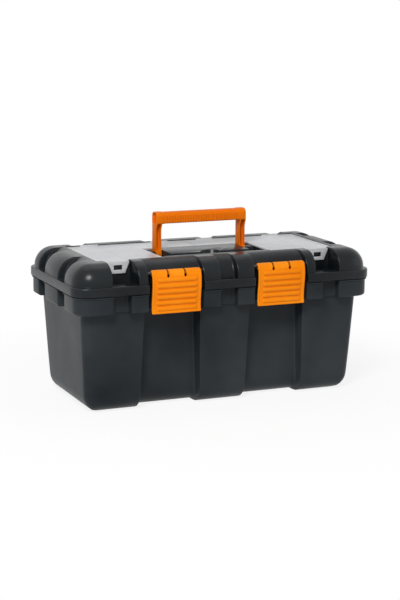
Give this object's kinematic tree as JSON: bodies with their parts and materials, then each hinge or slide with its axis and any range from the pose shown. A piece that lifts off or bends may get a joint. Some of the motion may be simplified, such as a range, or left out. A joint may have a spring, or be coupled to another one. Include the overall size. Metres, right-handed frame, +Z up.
{
  "type": "carpenter toolbox",
  "caption": "Moulded plastic carpenter's toolbox with a hinged domed lid, fold-down handle, front latches, clear-covered organisers in the lid and a lift-out tray.",
  "frame": {"origin": "middle of the flat base, between the ends and between the front and back of the lid's band", "axes": "+X along the length to the right as seen from the latched front, +Y to the hinged back, +Z up; lid shut, handle upright"},
  "size_m": [0.5, 0.2578, 0.2915],
  "materials": {
    "tub_plastic": "fine-textured anthracite polypropylene",
    "lid_plastic": "satin anthracite polypropylene",
    "tray_plastic": "satin anthracite polypropylene",
    "latch_plastic": "semi-gloss orange",
    "handle_plastic": "semi-gloss orange",
    "pin_plastic": "plain black",
    "clear_plastic": "clear, slightly smoky",
    "divider_plastic": "plain anthracite",
    "steel_wire": "drawn wire"
  },
  "bodies": {
    "tub": {"tub": "tub_plastic", "tool_tray": "tray_plastic", "tray_divider_front_left": "divider_plastic", "tray_divider_front_right": "divider_plastic", "tray_divider_rear": "divider_plastic", "lid_hinge_pin_left": "steel_wire", "lid_hinge_pin_right": "steel_wire"},
    "lid": {"lid": "lid_plastic", "handle_pin_left": "pin_plastic", "handle_pin_right": "pin_plastic", "latch_pin_left": "pin_plastic", "latch_pin_right": "pin_plastic", "cover_hinge_pin_left": "steel_wire", "cover_hinge_pin_right": "steel_wire", "organiser_divider_left_front": "divider_plastic", "organiser_divider_left_middle": "divider_plastic", "organiser_divider_left_rear": "divider_plastic", "organiser_divider_right_front": "divider_plastic", "organiser_divider_right_middle": "divider_plastic", "organiser_divider_right_rear": "divider_plastic"},
    "handle": {"handle": "handle_plastic"},
    "latch_left": {"latch_left": "latch_plastic"},
    "latch_right": {"latch_right": "latch_plastic"},
    "cover_left": {"organiser_cover_left": "clear_plastic"},
    "cover_right": {"organiser_cover_right": "clear_plastic"}
  },
  "joints": [
    {"name": "lid_hinge", "type": "hinge", "parent": "tub", "child": "lid", "pos_m": [0, 0.1286, 0.186], "axis": [-1, 0, 0], "range_deg": [0, 100]},
    {"name": "handle_hinge", "type": "hinge", "parent": "lid", "child": "handle", "pos_m": [0, 0.001, 0.2245], "axis": [1, 0, 0], "range_deg": [0, 90]},
    {"name": "latch_left_hinge", "type": "hinge", "parent": "lid", "child": "latch_left", "pos_m": [-0.088, -0.111, 0.2155], "axis": [-1, 0, 0], "range_deg": [0, 100]},
    {"name": "cover_left_hinge", "type": "hinge", "parent": "lid", "child": "cover_left", "pos_m": [-0.1, 0.0758, 0.23035], "axis": [-1, 0, 0], "range_deg": [0, 105]},
    {"name": "latch_right_hinge", "type": "hinge", "parent": "lid", "child": "latch_right", "pos_m": [0.088, -0.111, 0.2155], "axis": [-1, 0, 0], "range_deg": [0, 100]},
    {"name": "cover_right_hinge", "type": "hinge", "parent": "lid", "child": "cover_right", "pos_m": [0.1, 0.0758, 0.23035], "axis": [-1, 0, 0], "range_deg": [0, 105]}
  ]
}
